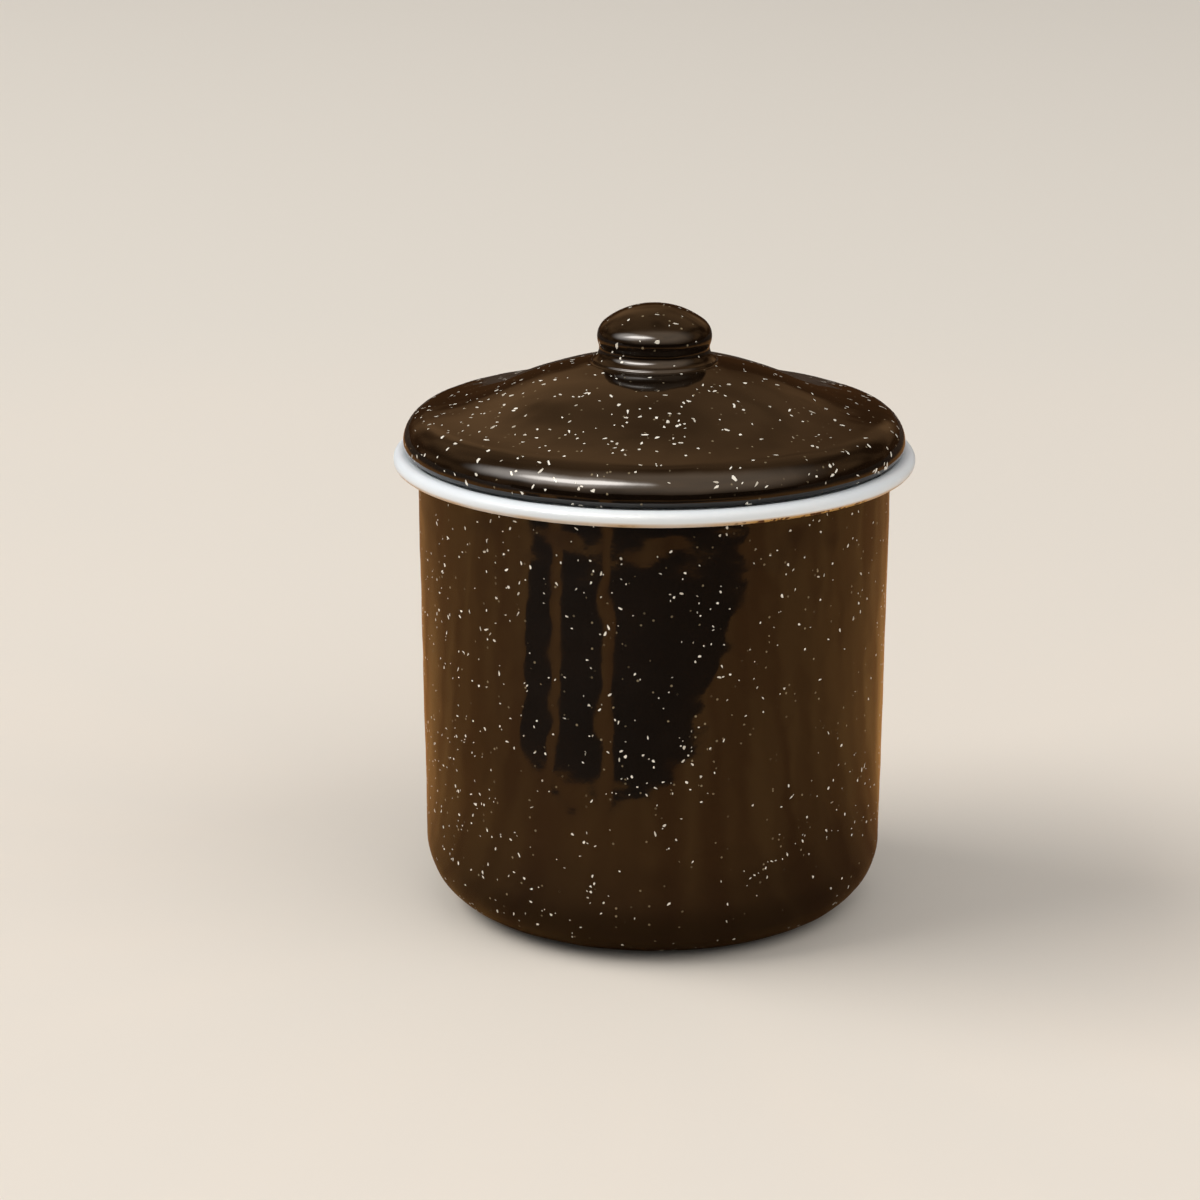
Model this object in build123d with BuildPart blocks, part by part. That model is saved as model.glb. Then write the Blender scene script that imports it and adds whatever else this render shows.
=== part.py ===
"""Enamelled steel canister with a lift-off lid, in millimetres.

Z is up and the origin is the middle of the base, on the surface that the canister stands on.
The body and the lid are steel pressings between two fused enamel coats. Every piece is turned
about Z, so each one is the revolve of a section, and the sections of one pressing are drawn by
one function at several depths below its outer face.
"""

import os
from math import asin, atan, cos, degrees, radians, sin, sqrt, tan

from build123d import *

os.makedirs("parts", exist_ok=True)

# Sheet and coats, the same for the body, the lid and the knob
steel = 0.8
coat = 0.3  # each fused enamel coat
sheet = coat + steel  # depth of the steel's inner face below the outer face
wall = coat + steel + coat

# Body: a drawn cup with a flared lip that is rolled outwards into a bead
base_radius = 63.3  # outer face of the wall, carried down to the standing plane
wall_draft = 0.75  # degrees that the wall leans out
rim_height = 128.7
heel_bend = 16.9  # inside radius between base and wall
foot_width = 8.0  # flat ring that the canister stands on
dish_rise = 1.5
dish_run = 7.0
lip_flare = 5.7  # radius of the lip's inner face, where the lid sits
rim_bore = 1.15  # hollow inside the rolled bead
rim_roll = 225
rim_glaze_roll = 190
outer_glaze_turn = 32  # how far the black coat follows the lip outwards

# Lid: a bell-shaped pressing with a rounded shoulder and a rolled-under edge
lid_inset = 2.75  # white rim left showing round the lid
shoulder_bend = 7.1
lid_bore = 1.65  # hollow inside the rolled edge
lid_roll = 190
lid_glaze_roll = 155
brim_slope = 10.0
dome_slope = 24.0  # steepest slope, where the dome turns into the brim
dome_share = 0.59
vent_radius = 1.5  # lets the hollow knob breathe in the kiln
seat_gap = 0.25

# Locating ring under the lid
ring_depth = 11.0  # reach below the top of the rim
ring_clearance = 0.8

# Knob: a hollow pressing with a domed cap, a slight neck and a flared foot
knob_radius = 15.7
knob_cap_height = 8.9
knob_shoulder = 5.4
knob_undercut = 21.0
knob_neck = 3.2
knob_flare_turn = 60.0
foot_step = 0.6  # upright edge of the foot above the lid

# Places that follow from the sizes of the body
draft = radians(wall_draft)
heel_radius = heel_bend + wall
heel_center = (base_radius + heel_radius * tan(draft) - heel_radius / cos(draft), heel_radius)
flare_radius = lip_flare - wall
flare_height = rim_height - lip_flare
flare_center = (base_radius + flare_height * tan(draft) + flare_radius / cos(draft), flare_height)
bead_radius = rim_bore + steel + coat
bead_center = (flare_center[0], rim_height - bead_radius)
rim_radius = bead_center[0] + bead_radius
dish_slope = atan(dish_rise / dish_run)
lip_turn = 90 - wall_draft

# Places that follow from the seat of the lid on the lip
lid_radius = rim_radius - lid_inset
lid_curl = lid_bore + steel + coat
shoulder_radius = shoulder_bend + wall
seat_reach = lid_curl + lip_flare + seat_gap
curl_inset = flare_center[0] - (lid_radius - lid_curl)
curl_center = (lid_radius - lid_curl, flare_height + sqrt(seat_reach**2 - curl_inset**2))
shoulder_center = (lid_radius - shoulder_radius, curl_center[1])
brim = radians(brim_slope)
dome = radians(dome_slope)
dome_edge = dome_share * lid_radius
dome_radius = dome_edge / sin(dome)
brim_start = shoulder_center[0] + shoulder_radius * sin(brim)
brim_radius = (brim_start - dome_edge) / (sin(dome) - sin(brim))
brim_center = (
    shoulder_center[0] + (shoulder_radius + brim_radius) * sin(brim),
    shoulder_center[1] + (shoulder_radius + brim_radius) * cos(brim),
)
dome_center = (0, brim_center[1] - (brim_radius + dome_radius) * cos(dome))
dome_base = dome_center[1] + dome_radius * cos(dome)

# Places that follow from the fit of the locating ring in the mouth
ring_bottom = rim_height - ring_depth
ring_glaze_radius = base_radius + ring_bottom * tan(draft) - wall / cos(draft) - ring_clearance
ring_radius = ring_glaze_radius - coat
ring_bore = ring_radius - steel
ring_top = curl_center[1] + shoulder_radius

# Places that follow from the seat of the knob on the dome
cap_offset = knob_radius - knob_shoulder
cap_drop = knob_cap_height - knob_shoulder
crown_radius = (cap_offset**2 + knob_cap_height**2 - knob_shoulder**2) / (2 * cap_drop)
crown_turn = degrees(asin(cap_offset / (crown_radius - knob_shoulder)))
undercut = radians(knob_undercut)
flare_turn = radians(knob_flare_turn)
neck_reach = knob_shoulder + knob_neck
neck_offset = cap_offset + neck_reach * cos(undercut)
foot_offset = neck_offset - (knob_neck + coat) * cos(flare_turn)
foot_radius = foot_offset + coat
foot_height = dome_center[1] + sqrt(dome_radius**2 - foot_radius**2) + foot_step
neck_height = foot_height + (knob_neck + coat) * sin(flare_turn)
knob_height = neck_height + neck_reach * sin(undercut)
cap_center = (cap_offset, knob_height)
crown_center = (0, knob_height + knob_cap_height - crown_radius)
neck_center = (neck_offset, neck_height)
foot_center = (foot_offset, foot_height)


def draw_cup(depth, turn, roll=0):
    """Draws the cup's section at a depth below its outer face and returns its two end points.

    It runs from the axis along the dished base, round the heel, up the wall and through a turn of
    the flared lip, and then on round the rolled bead.
    """
    shift = depth * tan(dish_slope / 2)
    heel_start = (heel_center[0], depth)
    foot_start = (heel_center[0] - foot_width + shift, depth)
    dish_start = (heel_center[0] - foot_width - dish_run + shift, dish_rise + depth)
    axis_point = (0, dish_rise + depth)
    Polyline(axis_point, dish_start, foot_start, heel_start)
    heel = CenterArc(heel_center, heel_radius - depth, -90, 90 - wall_draft)
    flare = CenterArc(flare_center, flare_radius + depth, 180 - wall_draft, -turn)
    Line(heel @ 1, flare @ 0)
    if not roll:
        return axis_point, flare @ 1
    bead = CenterArc(bead_center, bead_radius - wall + depth, 90, -roll)
    return axis_point, bead @ 1


def draw_lid(depth, start_radius, roll=0):
    """Draws the lid's section at a depth below its outer face and returns its two end points.

    It runs from a radius on the dome down the brim, round the shoulder and on round the rolled edge.
    """
    dome_start = degrees(asin(start_radius / (dome_radius - depth)))
    crown = CenterArc(dome_center, dome_radius - depth, 90 - dome_start, dome_start - dome_slope)
    CenterArc(brim_center, brim_radius + depth, 270 - dome_slope, dome_slope - brim_slope)
    shoulder = CenterArc(shoulder_center, shoulder_radius - depth, 90 - brim_slope, brim_slope - 90)
    if not roll:
        return crown @ 0, shoulder @ 1
    curl = CenterArc(curl_center, lid_curl - depth, 0, -roll)
    return crown @ 0, curl @ 1


def draw_knob(depth):
    """Draws the knob's section at a depth below its outer face and returns its two end points.

    It runs from the top of the cap to the flared foot, and then down into the lid for trimming. The
    coat is rounded over the sharp edge of the steel foot.
    """
    crown = CenterArc(crown_center, crown_radius - depth, 90, -crown_turn)
    CenterArc(cap_center, knob_shoulder - depth, 90 - crown_turn, crown_turn - 90 - knob_undercut)
    neck = CenterArc(neck_center, knob_neck + depth, 180 - knob_undercut, knob_undercut + knob_flare_turn)
    end = neck @ 1
    if depth < coat:
        foot = CenterArc(foot_center, coat - depth, knob_flare_turn, -knob_flare_turn)
        end = foot @ 1
    leg = Line(end, (end.X, dome_base))
    return crown @ 0, leg @ 1


def cut_lid_above(depth):
    """Cuts away what a sketch has above the lid's section at a depth."""
    with BuildLine() as outline:
        start, end = draw_lid(depth, 0)
        top = knob_height + knob_cap_height
        Polyline(start, (0, top), (lid_radius, top), (lid_radius, end.Y), end)
    make_face(outline.edges(), mode=Mode.SUBTRACT)


def cut_lid_below(depth):
    """Cuts away what a sketch has under the lid's dome at a depth."""
    with BuildLine() as outline:
        crown = CenterArc(dome_center, dome_radius - depth, 90, -dome_slope)
        Polyline(crown @ 0, dome_center, crown @ 1)
    make_face(outline.edges(), mode=Mode.SUBTRACT)


def close_section(first, second):
    """Joins the two ends of one drawn line to those of another, so that they bound a section."""
    Line(first[0], second[0])
    Line(first[1], second[1])


# Drawn steel cup
with BuildPart() as body_shell:
    with BuildSketch(Plane.XZ):
        with BuildLine():
            outside = draw_cup(coat, lip_turn, rim_roll)
            inside = draw_cup(sheet, lip_turn, rim_roll)
            close_section(outside, inside)
        make_face()
    revolve(axis=Axis.Z)

# Black coat on the outside of the cup
with BuildPart() as body_outer_enamel:
    with BuildSketch(Plane.XZ):
        with BuildLine():
            outside = draw_cup(0, outer_glaze_turn)
            inside = draw_cup(coat, outer_glaze_turn)
            close_section(outside, inside)
        make_face()
    revolve(axis=Axis.Z)

# White coat on the inside of the cup and over the rolled rim
with BuildPart() as body_lining:
    with BuildSketch(Plane.XZ):
        with BuildLine():
            outside = draw_cup(sheet, lip_turn, rim_glaze_roll)
            inside = draw_cup(wall, lip_turn, rim_glaze_roll)
            close_section(outside, inside)
        make_face()
    revolve(axis=Axis.Z)

# Pressed steel lid with its vent hole
with BuildPart() as lid_shell:
    with BuildSketch(Plane.XZ):
        with BuildLine():
            outside = draw_lid(coat, vent_radius, lid_roll)
            inside = draw_lid(sheet, vent_radius, lid_roll)
            close_section(outside, inside)
        make_face()
    revolve(axis=Axis.Z)

# Black coat on the lid, from the knob's foot round the rolled edge
with BuildPart() as lid_outer_enamel:
    with BuildSketch(Plane.XZ):
        with BuildLine():
            outside = draw_lid(0, foot_radius, lid_glaze_roll)
            inside = draw_lid(coat, foot_radius, lid_glaze_roll)
            close_section(outside, inside)
        make_face()
    revolve(axis=Axis.Z)

# Steel hoop welded under the lid
with BuildPart() as locating_ring:
    with BuildSketch(Plane.XZ):
        with Locations((ring_bore, ring_bottom)):
            Rectangle(steel, ring_top - ring_bottom, align=Align.MIN)
        cut_lid_above(sheet)
    revolve(axis=Axis.Z)

# White coat under the lid and round the hoop
with BuildPart() as lid_lining:
    with BuildSketch(Plane.XZ):
        with BuildLine():
            outside = draw_lid(sheet, vent_radius)
            inside = draw_lid(wall, vent_radius)
            close_section(outside, inside)
        make_face()
        with Locations((0, ring_bottom)):
            Rectangle(ring_bore, knob_height - ring_bottom, align=Align.MIN, mode=Mode.INTERSECT)
        with Locations((ring_bore - coat, ring_bottom - coat)):
            Rectangle(wall, ring_top - ring_bottom + coat, align=Align.MIN)
        with Locations((ring_bore, ring_bottom)):
            Rectangle(steel, ring_top - ring_bottom, align=Align.MIN, mode=Mode.SUBTRACT)
        cut_lid_above(sheet)
    revolve(axis=Axis.Z)

# Hollow steel knob
with BuildPart() as knob_shell:
    with BuildSketch(Plane.XZ):
        with BuildLine():
            outside = draw_knob(coat)
            inside = draw_knob(sheet)
            close_section(outside, inside)
        make_face()
        cut_lid_below(coat)
    revolve(axis=Axis.Z)

# Black coat on the knob, down to the lid's steel
with BuildPart() as knob_enamel:
    with BuildSketch(Plane.XZ):
        with BuildLine():
            outside = draw_knob(0)
            inside = draw_knob(coat)
            close_section(outside, inside)
        make_face()
        cut_lid_below(coat)
    revolve(axis=Axis.Z)

pieces = {
    "body_shell": body_shell,
    "body_outer_enamel": body_outer_enamel,
    "body_lining": body_lining,
    "lid_shell": lid_shell,
    "lid_outer_enamel": lid_outer_enamel,
    "locating_ring": locating_ring,
    "lid_lining": lid_lining,
    "knob_shell": knob_shell,
    "knob_enamel": knob_enamel,
}
for name, piece in pieces.items():
    piece.part.label = name
    export_step(piece.part, f"parts/{name}.step")
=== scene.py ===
# %% [markdown]
# # A flecked enamel canister
#
# The canister is a steel cup with a lift-off lid, dressed in fused glass: black with cream flecks
# outside, white inside and over the rolled rim. The solids already exist as nine CAD nodes on two
# bodies, the canister and the lid. This script keeps the bare steel nodes, and gives each coat of
# glass a finer skin of the same section, because a glossy surface shows every facet it has.

from math import asin, atan, ceil, cos, degrees, hypot, pi, radians, sin, sqrt, tan

import bpy
from mathutils import Matrix, Vector


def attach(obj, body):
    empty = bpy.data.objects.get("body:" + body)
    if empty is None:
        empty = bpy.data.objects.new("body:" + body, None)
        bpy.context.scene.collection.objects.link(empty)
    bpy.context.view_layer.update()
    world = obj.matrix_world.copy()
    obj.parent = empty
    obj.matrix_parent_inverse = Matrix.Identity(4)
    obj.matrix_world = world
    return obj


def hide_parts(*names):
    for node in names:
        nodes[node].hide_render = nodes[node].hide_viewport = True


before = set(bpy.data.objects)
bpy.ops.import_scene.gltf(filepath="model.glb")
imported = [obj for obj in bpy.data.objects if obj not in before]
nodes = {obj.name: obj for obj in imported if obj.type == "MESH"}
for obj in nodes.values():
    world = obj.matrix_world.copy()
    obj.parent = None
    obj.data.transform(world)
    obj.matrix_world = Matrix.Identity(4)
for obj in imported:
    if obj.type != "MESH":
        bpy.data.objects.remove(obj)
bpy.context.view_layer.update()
mm = 0.001

# %% [markdown]
# ## The camera
#
# The view comes first, because everything else is judged through it. A long lens stands about a metre
# away and looks down a little, so the lid's top shows as a thin ellipse. The canister stands right of
# the middle, which a small turn of the camera gives without any lens shift.

# %% Camera
camera_place = (0, -0.98857, 0.36899)
camera_pitch = 0.2797
camera_turn = 0.015
focal_length = 111.27

camera = bpy.data.objects.new("camera", bpy.data.cameras.new("camera"))
camera.location = camera_place
camera.rotation_euler = (pi / 2 - camera_pitch, 0, camera_turn)
camera.data.lens = focal_length
bpy.context.scene.collection.objects.link(camera)
bpy.context.scene.camera = camera
print("camera looks down by", round(degrees(camera_pitch), 1), "degrees")

# %% [markdown]
# ## Two small helpers
#
# Colours are written as the sRGB hex values that a colour picker shows, and Blender's sockets take
# linear light, so one function turns the first into the second. Node trees are long chains of the same
# gesture, so one function adds a node, its settings and its links.

# %% Helpers
def colour(code):
    """Turns an sRGB hex value into the linear colour that a socket takes."""
    shares = [int(code[i : i + 2], 16) / 255 for i in (1, 3, 5)]
    return [s / 12.92 if s <= 0.04045 else ((s + 0.055) / 1.055) ** 2.4 for s in shares] + [1]


def add(tree, kind, inputs=None, **settings):
    """Adds a node. Settings go on the node, and inputs on its sockets, as values or as links."""
    node = tree.nodes.new(kind)
    for name, value in settings.items():
        setattr(node, name, value)
    for socket, value in (inputs or {}).items():
        if isinstance(value, bpy.types.NodeSocket):
            tree.links.new(value, node.inputs[socket])
        else:
            node.inputs[socket].default_value = value
    return node


print("white as linear light:", colour("#ffffff"))

# %% [markdown]
# ## What the materials share
#
# Every pattern reads Object coordinates, which are metres in the object's own frame, so its scale is one
# over a real size. Every finish ends in a colour, a roughness and a bump. Map Range nodes turn a noise
# into what is wanted of it. Their four numbers, from low, from high, to low and to high, are written as
# the sockets 1 to 4, under a name that says what they are for.

# %% Material helpers
def new_material(name):
    """Returns a new material, its tree, its shader and its Object coordinates."""
    material = bpy.data.materials.new(name)
    material.use_nodes = True
    tree = material.node_tree
    shader = tree.nodes["Principled BSDF"]
    place = add(tree, "ShaderNodeTexCoord").outputs["Object"]
    print("new material:", name)
    return material, tree, shader, place


def surface(tree, shader, skin, shine, relief):
    """Links a colour, a roughness and a bump to the shader."""
    for socket, source in (("Base Color", skin), ("Roughness", shine), ("Normal", relief)):
        tree.links.new(source, shader.inputs[socket])


# %% [markdown]
# ## Black vitreous enamel
#
# Vitreous enamel is powdered glass, fired on steel until it flows. To the eye it is a deep colour under
# a wet shine: the colour barely changes, the shine wavers because the melt never lies quite flat, and
# specks that sank into the melt look dimmer than those on top. So the base is a warm black with a slow
# drift, the sunken specks are a few Voronoi cells picked at random, and a fine noise lifts the surface
# by less than a hundredth of a millimetre. The bright flecks on top come later, as geometry.

# %% Fused glass
glass_ior = 1.5
sheen_size = 9 * mm
peel_size = 3.2 * mm
peel_height = 0.018 * mm


def specks(tree, place, size, share, outline):
    """Specks in a share of the cells of a pattern: a mask, and a random value for each speck."""
    cells = add(tree, "ShaderNodeTexVoronoi", {"Vector": place, "Scale": 1 / size})
    pick = add(tree, "ShaderNodeSeparateColor", {0: cells.outputs["Color"]})
    picked = add(tree, "ShaderNodeMath", {0: pick.outputs[0], 1: share}, operation="LESS_THAN")
    core = add(tree, "ShaderNodeMapRange", {0: cells.outputs["Distance"], **outline})
    mask = add(tree, "ShaderNodeMath", {0: picked.outputs[0], 1: core.outputs[0]}, operation="MULTIPLY")
    return mask.outputs[0], pick.outputs[1]


def fused_glass(tree, shader, place, skin, shine_range):
    """Finishes a coat of glass with an uneven shine and the slight waviness of the melt."""
    sheen = add(tree, "ShaderNodeTexNoise", {"Vector": place, "Scale": 1 / sheen_size, "Detail": 4})
    shine = add(tree, "ShaderNodeMapRange", {0: sheen.outputs[0], **shine_range})
    peel = add(tree, "ShaderNodeTexNoise", {"Vector": place, "Scale": 1 / peel_size, "Detail": 2})
    lift = add(tree, "ShaderNodeBump", {"Height": peel.outputs[0], "Distance": peel_height, "Strength": 1})
    surface(tree, shader, skin, shine.outputs[0], lift.outputs[0])
    shader.inputs["IOR"].default_value = glass_ior


print("the melt waves over", round(peel_size / mm, 1), "mm")

# %% Black enamel
drift_size = 22 * mm
sunken_size = 0.8 * mm
sunken_share = 0.015
sunken_outline = {1: 0.5, 2: 0.3}
black_shine = {1: 0.3, 2: 0.7, 3: 0.05, 4: 0.1}

black_enamel, tree, shader, place = new_material("black_vitreous_enamel")
drift = add(tree, "ShaderNodeTexNoise", {"Vector": place, "Scale": 1 / drift_size, "Detail": 3})
ground = add(tree, "ShaderNodeMix", {0: drift.outputs[0], 6: colour("#0b0704"), 7: colour("#180f08")},
             data_type="RGBA")
speck, depth = specks(tree, place, sunken_size, sunken_share, sunken_outline)
dim = add(tree, "ShaderNodeMath", {0: speck, 1: depth}, operation="MULTIPLY")
glaze = add(tree, "ShaderNodeMix", {0: dim.outputs[0], 6: ground.outputs[2], 7: colour("#8a7c62")},
            data_type="RGBA")
fused_glass(tree, shader, place, glaze.outputs[2], black_shine)
print(black_enamel.name, "has", len(tree.nodes), "nodes")

# %% [markdown]
# ## White vitreous enamel
#
# The white coat is the same glass with an opaque pigment. It drifts a little between cool and creamy,
# and holds a few dark pinholes where gas left the steel. Hands and the lid have rubbed it, so its shine
# is softer than the black's.

# %% White enamel
cream_size = 30 * mm
pinhole_size = 1.3 * mm
pinhole_share = 0.004
pinhole_outline = {1: 0.28, 2: 0.14}
white_shine = {1: 0.3, 2: 0.7, 3: 0.3, 4: 0.42}

white_enamel, tree, shader, place = new_material("white_vitreous_enamel")
cream = add(tree, "ShaderNodeTexNoise", {"Vector": place, "Scale": 1 / cream_size, "Detail": 2})
ground = add(tree, "ShaderNodeMix", {0: cream.outputs[0], 6: colour("#e2e9ef"), 7: colour("#eef0ee")},
             data_type="RGBA")
pinhole = specks(tree, place, pinhole_size, pinhole_share, pinhole_outline)[0]
glaze = add(tree, "ShaderNodeMix", {0: pinhole, 6: ground.outputs[2], 7: colour("#6d5a45")},
            data_type="RGBA")
print("white glass holds a pinhole in", pinhole_share, "of its cells")

# %% [markdown]
# Round the lowest side of the rim the glass is thin and worn, so an ochre line shows there, with brown
# chips where it is patchy. The line is placed by height and by distance from the axis, and a coarse
# noise makes it come and go round the canister.

# %% The worn rim
rim_wear = {1: 125.9 * mm, 2: 125.15 * mm}
rim_inside = 68 * mm
wear_size = 26 * mm
wear_seed = 47.0
wear_range = {1: 0.3, 2: 0.62}
chip_size = 1.1 * mm
chip_share = 0.42
bare_range = {1: 0.72, 2: 0.9}

height = add(tree, "ShaderNodeSeparateXYZ", {0: place}).outputs["Z"]
low_side = add(tree, "ShaderNodeMapRange", {0: height, **rim_wear})
flat = add(tree, "ShaderNodeVectorMath", {0: place, 1: (1, 1, 0)}, operation="MULTIPLY")
out = add(tree, "ShaderNodeVectorMath", {0: flat.outputs[0]}, operation="LENGTH")
on_rim = add(tree, "ShaderNodeMath", {0: out.outputs["Value"], 1: rim_inside}, operation="GREATER_THAN")
edge = add(tree, "ShaderNodeMath", {0: low_side.outputs[0], 1: on_rim.outputs[0]}, operation="MULTIPLY")
patch = add(tree, "ShaderNodeTexNoise",
            {"Vector": place, "W": wear_seed, "Scale": 1 / wear_size, "Detail": 4}, noise_dimensions="4D")
worn = add(tree, "ShaderNodeMapRange", {0: patch.outputs[0], **wear_range})
ochre = add(tree, "ShaderNodeMath", {0: edge.outputs[0], 1: worn.outputs[0]}, operation="MULTIPLY")
stain = add(tree, "ShaderNodeMix", {0: ochre.outputs[0], 6: glaze.outputs[2], 7: colour("#c99b56")},
            data_type="RGBA")
flakes = add(tree, "ShaderNodeTexVoronoi", {"Vector": place, "Scale": 1 / chip_size})
flake = add(tree, "ShaderNodeSeparateColor", {0: flakes.outputs["Color"]})
chipped = add(tree, "ShaderNodeMath", {0: flake.outputs[0], 1: chip_share}, operation="LESS_THAN")
bare = add(tree, "ShaderNodeMapRange", {0: ochre.outputs[0], **bare_range})
chip = add(tree, "ShaderNodeMath", {0: chipped.outputs[0], 1: bare.outputs[0]}, operation="MULTIPLY")
rubbed = add(tree, "ShaderNodeMix", {0: chip.outputs[0], 6: stain.outputs[2], 7: colour("#5b3519")},
             data_type="RGBA")
fused_glass(tree, shader, place, rubbed.outputs[2], white_shine)
print(white_enamel.name, "has", len(tree.nodes), "nodes")

# %% [markdown]
# ## Cream flecks and bare steel
#
# The flecks are grains of cream glass sprinkled on the black melt. They differ in how far they sank, so
# each grain carries a tone of its own, from bright cream to a dim brown. The steel under the coats is
# dull and grey from the kiln. It shows only inside the rolled edges and in the vent under the knob.

# %% Flecks
tone_name = "fleck_tone"
grain_size = 0.5 * mm
speckle_range = {1: 0.62, 2: 0.8, 4: 0.5}
fleck_shine = {3: 0.08, 4: 0.22}

cream_flecks, tree, shader, place = new_material("cream_frit_flecks")
tone = add(tree, "ShaderNodeAttribute", attribute_name=tone_name)
grain = add(tree, "ShaderNodeTexNoise", {"Vector": place, "Scale": 1 / grain_size})
body = add(tree, "ShaderNodeMix", {0: tone.outputs["Fac"], 6: colour("#7d6e55"), 7: colour("#fbf5e6")},
           data_type="RGBA")
speckle = add(tree, "ShaderNodeMapRange", {0: grain.outputs[0], **speckle_range})
grainy = add(tree, "ShaderNodeMix", {0: speckle.outputs[0], 6: body.outputs[2], 7: colour("#a8977b")},
             data_type="RGBA")
shine = add(tree, "ShaderNodeMapRange", {0: grain.outputs[0], **fleck_shine})
lift = add(tree, "ShaderNodeBump", {"Height": grain.outputs[0], "Distance": peel_height, "Strength": 1})
surface(tree, shader, grainy.outputs[2], shine.outputs[0], lift.outputs[0])
shader.inputs["IOR"].default_value = glass_ior
print(cream_flecks.name, "has", len(tree.nodes), "nodes")

# %% Steel
scale_size = 6 * mm
steel_shine = {1: 0.3, 2: 0.7, 3: 0.38, 4: 0.6}

bare_steel, tree, shader, place = new_material("bare_enamelling_steel")
scale = add(tree, "ShaderNodeTexNoise", {"Vector": place, "Scale": 1 / scale_size, "Detail": 6})
tint = add(tree, "ShaderNodeMix", {0: scale.outputs[0], 6: colour("#57504a"), 7: colour("#8b8780")},
           data_type="RGBA")
dull = add(tree, "ShaderNodeMapRange", {0: scale.outputs[0], **steel_shine})
lift = add(tree, "ShaderNodeBump", {"Height": scale.outputs[0], "Distance": peel_height, "Strength": 1})
surface(tree, shader, tint.outputs[2], dull.outputs[0], lift.outputs[0])
shader.inputs["Metallic"].default_value = 1

steel_nodes = ("body_shell", "lid_shell", "locating_ring", "knob_shell")
for name in steel_nodes:
    nodes[name].data.materials.clear()
    nodes[name].data.materials.append(bare_steel)
print(bare_steel.name, "is on", len(steel_nodes), "nodes")

# %% [markdown]
# ## The section of the canister
#
# Everything here is round, so a piece is a line turned about the axis. These are the sizes of the cup,
# and the centres of the arcs that follow from them. A line at some depth below the outer face is made
# of the same arcs with other radii, so the coats lie parallel to the steel. Angles are in degrees.

# %% Sizes of the cup
steel = 0.8 * mm
coat = 0.3 * mm
sheet = coat + steel
wall = coat + steel + coat
base_radius = 63.3 * mm
wall_draft = 0.75
rim_height = 128.7 * mm
heel_bend = 16.9 * mm
foot_width = 8 * mm
dish_rise = 1.5 * mm
dish_run = 7 * mm
lip_flare = 5.7 * mm
rim_bore = 1.15 * mm
rim_glaze_roll = 190
outer_glaze_turn = 32

draft = radians(wall_draft)
heel_radius = heel_bend + wall
heel_center = (base_radius + heel_radius * tan(draft) - heel_radius / cos(draft), heel_radius)
flare_radius = lip_flare - wall
flare_height = rim_height - lip_flare
flare_center = (base_radius + flare_height * tan(draft) + flare_radius / cos(draft), flare_height)
bead_radius = rim_bore + steel + coat
bead_center = (flare_center[0], rim_height - bead_radius)
rim_radius = bead_center[0] + bead_radius
dish_slope = atan(dish_rise / dish_run)
lip_turn = 90 - wall_draft
print("rim reaches out, mm:", round(rim_radius / mm, 2))

# %% [markdown]
# The lid's rolled edge rests on the round of the lip, so the two radii and a small gap give its height.
# Its dome and brim are two arcs that meet at one slope. The hoop under it drops into the mouth with some
# play.

# %% Sizes of the lid
lid_inset = 2.75 * mm
shoulder_bend = 7.1 * mm
lid_bore = 1.65 * mm
lid_glaze_roll = 155
brim_slope = 10
dome_slope = 24
dome_share = 0.59
vent_radius = 1.5 * mm
seat_gap = 0.25 * mm
ring_depth = 11 * mm
ring_clearance = 0.8 * mm

lid_radius = rim_radius - lid_inset
lid_curl = lid_bore + steel + coat
shoulder_radius = shoulder_bend + wall
seat_reach = lid_curl + lip_flare + seat_gap
curl_inset = flare_center[0] - (lid_radius - lid_curl)
curl_center = (lid_radius - lid_curl, flare_height + sqrt(seat_reach**2 - curl_inset**2))
shoulder_center = (lid_radius - shoulder_radius, curl_center[1])
brim = radians(brim_slope)
dome = radians(dome_slope)
dome_edge = dome_share * lid_radius
dome_radius = dome_edge / sin(dome)
brim_start = shoulder_center[0] + shoulder_radius * sin(brim)
brim_radius = (brim_start - dome_edge) / (sin(dome) - sin(brim))
brim_center = (
    shoulder_center[0] + (shoulder_radius + brim_radius) * sin(brim),
    shoulder_center[1] + (shoulder_radius + brim_radius) * cos(brim),
)
dome_center = (0, brim_center[1] - (brim_radius + dome_radius) * cos(dome))
ring_bottom = rim_height - ring_depth
ring_glaze_radius = base_radius + ring_bottom * tan(draft) - wall / cos(draft) - ring_clearance
ring_radius = ring_glaze_radius - coat
ring_bore = ring_radius - steel
print("lid and ring reach out, mm:", [round(x / mm, 2) for x in (lid_radius, ring_glaze_radius)])

# %% [markdown]
# The knob has a shallow crown, a round shoulder, a slight neck and a foot that flares out on the dome.
# Its height follows from where the foot meets the lid.

# %% Sizes of the knob
knob_radius = 15.7 * mm
knob_cap_height = 8.9 * mm
knob_shoulder = 5.4 * mm
knob_undercut = 21
knob_neck = 3.2 * mm
knob_flare_turn = 60
foot_step = 0.6 * mm

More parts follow.
